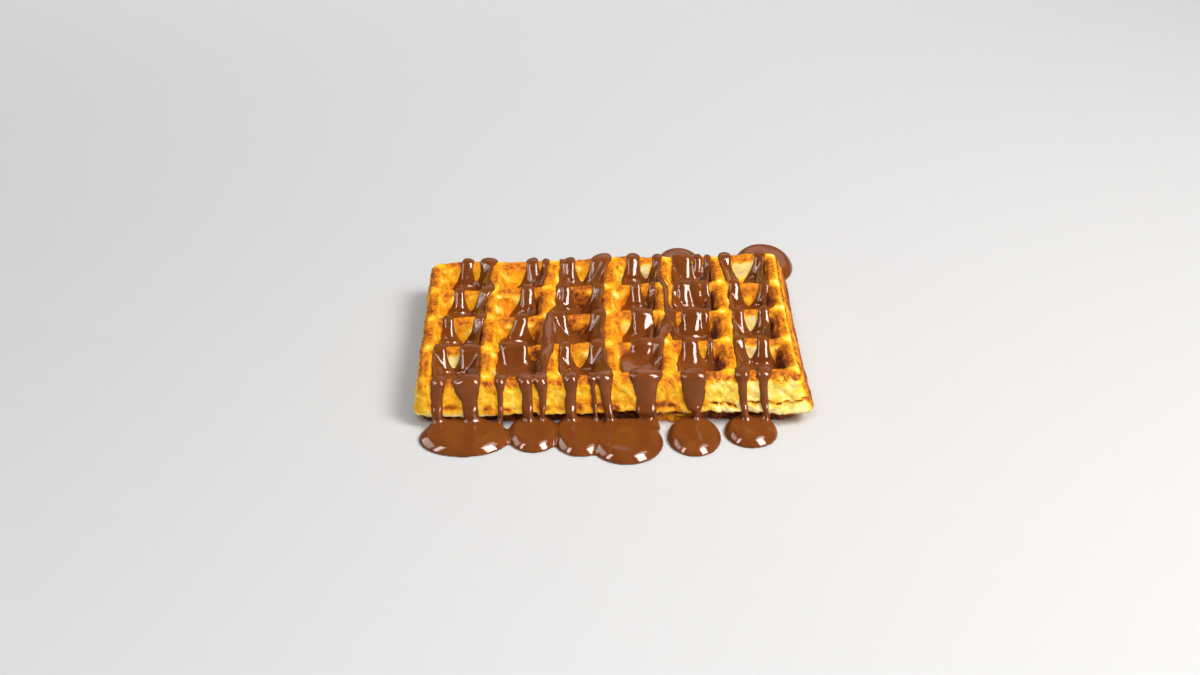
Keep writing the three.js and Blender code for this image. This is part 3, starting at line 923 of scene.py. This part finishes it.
def pocket_bake_and_shading(at):
    """Orange-brown pocket walls, with painted light on the crowns of their swellings, except where
    they face left, and on the walls that face right, painted shade where they face left, most of
    all at the right end, and a little painted shade further down. The middle of each far wall has
    that pocket's own crumb."""
    crumb = np.full(len(at.x), 0.38)
    for pockets, darkness in ((PALE_POCKETS, 0.0), (ORANGE_POCKETS, 0.56), (DARK_POCKETS, 0.75)):
        crumb[np.isin(at.pocket, pockets)] = darkness
    middle = ramp(at.from_ridge_x + 1.2 * at.patches, 4.8, 7.8)
    middle = middle * ramp(at.depth + 0.4 * at.specks, 1.7, 2.8) * at.front
    # Painted shade on the walls that face left, most of all at the right end
    shaded = at.left * ramp(at.depth + 0.5 * at.patches, 2.4, 4.4) * (1 + ramp(at.x, -30, 50))
    bake_and_shading = 0.57 + 0.05 * at.patches + 0.05 * at.specks
    bake_and_shading = bake_and_shading + (crumb + 0.05 * at.patches - bake_and_shading) * middle
    # Painted light on the crowns of the swellings and on walls that face right; painted shade deep in
    # the pocket
    bake_and_shading = bake_and_shading - 0.32 * at.bulges * (1 - at.left) - 0.18 * at.right
    return bake_and_shading + 0.17 * shaded + 0.10 * ramp(at.depth, 7, 11)


def wall_bake_and_shading(at):
    """Golden outer walls under a brown crest, with a broken brown band a fifth of the way up from
    the pale lip at the seam. The right part of the front is paler, down to crumb below its torn
    seam, whose crack is darkened with painted shade. The right wall is the darkest, from the crest
    down."""
    bake_and_shading = 0.33 + 0.04 * (at.clouds + at.patches + at.specks)
    bake_and_shading = bake_and_shading - 0.20 * ramp(at.x, 30, 50) * at.front - 0.10 * (1 - ramp(at.x, -80, -68))
    uneven = 0.012 * (at.patches + at.specks) + 0.03 * at.dots
    bake_and_shading = bake_and_shading + (0.64 + 0.05 * at.dots - bake_and_shading) * ramp(at.share + uneven, 0.80, 0.88)
    band = line_across(at.share - 0.22 - 0.03 * at.clouds, 0.10)
    band = band * ramp(at.clouds + at.patches, -1.2, 1.0) * ramp(at.x, -82, -66)
    bake_and_shading = bake_and_shading + 0.34 * band * (1 - ramp(at.x, 36, 44))
    bake_and_shading = bake_and_shading + at.right * (0.06 + 0.42 * ramp(0.95 - at.share, 0, 0.8) + 0.04 * at.dots)
    lip = line_across(at.z - SEAM_HEIGHT + 0.2, 0.9)
    bake_and_shading = bake_and_shading - 0.5 * lip * (1 - ramp(at.gx - HALF_X, 2, 4))

    torn = ramp(at.x, TORN_FROM, TORN_FULLY) * at.front
    above_crack = at.z - crack_height(at.x)
    # Painted shade in the crack of the torn seam
    crack = line_across(above_crack, 0.55) * ramp(at.specks + 0.6 * at.dots, -0.9, 0.6)
    return bake_and_shading + torn * (1.1 * crack - 0.16 * ramp(-above_crack, 0.8, 1.6))


def lower_bake_and_shading(at):
    """Dark lower crust, its own brown deepened with painted shade from the overhang. It is lighter on
    its flap, which sticks out of that shade, on the underside's ridges and most in its pockets.
    """
    in_grid = 1 - at.rim
    hollow = ramp(at.z + 0.3 * at.specks, 0.8, 2.6)
    # The dark base holds painted shade from the overhang; the flap sticks out of it and is lighter
    return 0.84 + 0.06 * at.patches - 0.4 * at.flap - in_grid * (0.14 + 0.24 * hollow)


def bake_and_shading_of(p, slope):
    """Browning and painted light and shade at each point, from 0, pale crumb, to 1, dark crust.

    The ridge tops blend into the pocket walls with depth, the grid into the outer walls past its
    rim, and all of it into the lower crust below the seam.
    """
    at = marks_of(p, slope)
    ridge, wall = ridge_bake_and_shading(at), wall_bake_and_shading(at)
    grid = ridge + (pocket_bake_and_shading(at) - ridge) * ramp(at.depth, 0.8, 2.2)
    bake_and_shading = grid + (wall - grid) * at.outer
    lower = np.where(at.outer > 0.5, 1 - ramp(at.z, 4.4, 5.4), 1 - ramp(at.z, 6.2, 7.0))
    return np.clip(bake_and_shading + (lower_bake_and_shading(at) - bake_and_shading) * lower, 0, 1)


def baked_waffle():
    """The crust: its plain form pushed out along its slope by the relief, and flat on the ground."""
    points, faces, triangles = crust_points()
    slope = gradient_of(waffle_distance, points)
    slope /= np.maximum(np.linalg.norm(slope, axis=1), 0.2)[:, None]
    points = points + slope * relief(points, slope)[:, None]
    points[:, 2] = np.maximum(points[:, 2], 0.0)
    # Browning with painted light and shade, one value a point
    bake_and_shading = {"bake_and_shading": bake_and_shading_of(points, slope)}
    faces = faces.tolist() + triangles.tolist()
    piece = make_piece("baked_waffle", points, faces, baked_batter(), bake_and_shading)
    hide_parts("waffle")


def thin_out(piece, hidden, share):
    """Faces between hidden points merged down to that share, so that most faces are where the
    piece shows."""
    mesh = piece.data
    group = piece.vertex_groups.new(name="hidden")
    group.add(np.flatnonzero(hidden).tolist(), 1.0, "REPLACE")
    corners = np.empty(len(mesh.polygons) * 4, int)
    mesh.polygons.foreach_get("vertices", corners)
    buried = hidden[corners.reshape(-1, 4)].all(axis=1).mean()
    thinner = piece.modifiers.new("thin_out", "DECIMATE")
    thinner.vertex_group, thinner.vertex_group_factor = "hidden", 1000.0
    thinner.ratio = 1 - buried * (1 - share)
    graph = bpy.context.evaluated_depsgraph_get()
    piece.data = bpy.data.meshes.new_from_object(piece.evaluated_get(graph))
    piece.modifiers.clear()
    piece.vertex_groups.clear()
    bpy.data.meshes.remove(mesh)


def chocolate_sauce():
    """The sauce in two pieces with one material, parted just above the puddles where only the
    drips cross, with a short overlap so that no joint shows. The field is worked out in slices of
    a box round all the sauce, to spare memory."""
    low = np.array([-92.0, -87.0, -1.2])
    high = np.array([97.0, 105.0, 29.0])
    slices, fewest_points = 12, 1000
    axes = [np.arange(a, b, SAUCE_CELL, dtype=np.float32) for a, b in zip(low, high)]
    shape = tuple(len(a) for a in axes)
    whole = np.empty(shape, np.float32)
    for i in np.array_split(np.arange(shape[0]), slices):
        block = np.stack(np.meshgrid(axes[0][i], axes[1], axes[2], indexing="ij"), axis=-1)
        whole[i] = sauce_field(block.reshape(-1, 3)).reshape(block.shape[:3])

    material = hazelnut_chocolate()
    for name, side, parting in (
        ("poured_sauce", -1, POURED_DOWN_TO), ("puddled_sauce", 1, PUDDLED_UP_TO)
    ):
        def part_field(p):
            """The sauce on one side of the parting."""
            return np.maximum(sauce_field(p), side * (p[:, 2] - parting))

        field = np.maximum(whole, side * (axes[2] - parting))
        points, faces = surface_net(without_pinches(field), low, SAUCE_CELL)
        points, faces = without_specks(points, faces, fewest_points)
        points = relax(points, faces, 2)
        points = settle(part_field, points, 2, SAUCE_CELL / 3)
        points = relax(points, faces, 2)
        piece = make_piece(name, points, faces, material)
        inside_crust, on_ground = waffle_distance(points) < -0.3, points[:, 2] < 0.2
        thin_out(piece, inside_crust | on_ground, 0.12)
        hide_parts(*(PUDDLES if side > 0 else ["waffle"]))


# Studio


def paper_floor():
    """Seamless matt paper, pale and slightly cool, so that it shows no glare."""
    paper = new_material("seamless_paper")
    surface = add(paper, "ShaderNodeBsdfPrincipled",
                  {"Base Color": linear("#CCCED0"), "Roughness": 0.8, "Specular IOR Level": 0.2})
    add(paper, "ShaderNodeOutputMaterial", None, {"Surface": surface.outputs["BSDF"]})
    half = 3.0
    mesh = bpy.data.meshes.new("studio_floor")
    mesh.from_pydata([(-half, -half, 0), (half, -half, 0), (half, half, 0), (-half, half, 0)], [],
                     [(0, 1, 2, 3)])
    mesh.materials.append(paper)
    floor = new_object("studio_floor", mesh)
    floor.location.z = -0.2 * MM


def studio_air():
    """Soft grey light from all round, dimmest 20 degrees above the horizon."""
    world = bpy.data.worlds.new("studio_air")
    world.use_nodes = True
    direction = add(world, "ShaderNodeTexCoord").outputs["Generated"]
    height = add(world, "ShaderNodeSeparateXYZ", None, {"Vector": direction}).outputs["Z"]
    glow = add(world, "ShaderNodeValToRGB", None, {"Fac": height})
    set_ramp(glow, (
        (0.0, "#C8C8CC"), (0.14, "#B4B4B8"), (0.34, "#8A8B90"), (0.75, "#A6A7AC"), (1.0, "#D8D9DC"),
    ))
    background = world.node_tree.nodes["Background"]
    background.inputs["Strength"].default_value = 0.38
    world.node_tree.links.new(glow.outputs["Color"], background.inputs["Color"])
    bpy.context.scene.world = world


def area_light(name, place, size, watts, colour, lights=True, mirrored=True, aim=(0.0, 0.0, 0.01)):
    """A rectangular light that the camera doesn't see. It lights what it reaches, is mirrored in
    what is glossy, or both. Place, size and aim are in metres."""
    light = bpy.data.lights.new(name, "AREA")
    light.shape = "RECTANGLE"
    light.size, light.size_y = size
    light.energy = watts
    light.color = linear(colour)[:3]
    lamp = new_object(name, light)
    lamp.location = place
    lamp.rotation_euler = (Vector(aim) - Vector(place)).to_track_quat("-Z", "Y").to_euler()
    lamp.visible_camera = False
    lamp.visible_diffuse = lights
    lamp.visible_glossy = mirrored
    return light


def studio():
    """Windows to the right and left and a pale wall behind, which are seen only as reflections,
    and soft boxes above, which light the waffle and the paper."""
    paper_floor()
    studio_air()
    area_light("right_strip", (0.56, -0.56, 0.46), (0.37, 0.78), 64.0, "#FFF2EA", lights=False)
    area_light("left_strip", (-0.66, -0.48, 0.44), (0.17, 0.60), 12.0, "#FFF2EE", lights=False)
    area_light("left_panel", (-0.88, 0.06, 0.42), (0.80, 0.52), 16.0, "#FFF6F2", lights=False)
    area_light("back_panel", (0.0, 1.00, 0.65), (1.6, 0.26), 2.6, "#FFE2DA", lights=False)
    area_light("key_soft_box", (0.62, -0.30, 0.95), (0.50, 0.50), 13.2, "#FFFAF4")
    area_light("front_soft_box", (-0.15, -0.72, 0.95), (0.50, 0.30), 5.0, "#FFFFFF", mirrored=False)
    wash = area_light("floor_wash", (-0.42, 0.80, 0.90), (1.8, 0.5), 4.0, "#FFFFFF", mirrored=False,
                      aim=(-0.42, 0.80, 0.0))
    wash.spread = math.radians(105)
    bpy.context.scene.view_settings.view_transform = "Standard"


def photograph_camera():
    """The photograph's camera, fitted to the ridge crossings: it looks down at 32 degrees from 749 mm
    with a 48.5 mm lens on a 36 mm sensor, a little off the waffle's own axis."""
    elevation, yaw, distance = math.radians(32.0), math.radians(-0.72), 0.749
    aim = Vector((-0.0031, 0.01574, 0.0))
    back = Vector((
        math.sin(yaw) * math.cos(elevation),
        -math.cos(yaw) * math.cos(elevation),
        math.sin(elevation),
    ))
    data = bpy.data.cameras.new("photograph_camera")
    data.lens, data.sensor_width = 48.51, 36.0
    data.clip_start, data.clip_end = 0.01, 20.0
    camera = new_object("photograph_camera", data)
    camera.location = aim + back * distance
    camera.rotation_euler = (-back).to_track_quat("-Z", "Y").to_euler()
    bpy.context.scene.camera = camera


photograph_camera()
studio()
baked_waffle()
chocolate_sauce()
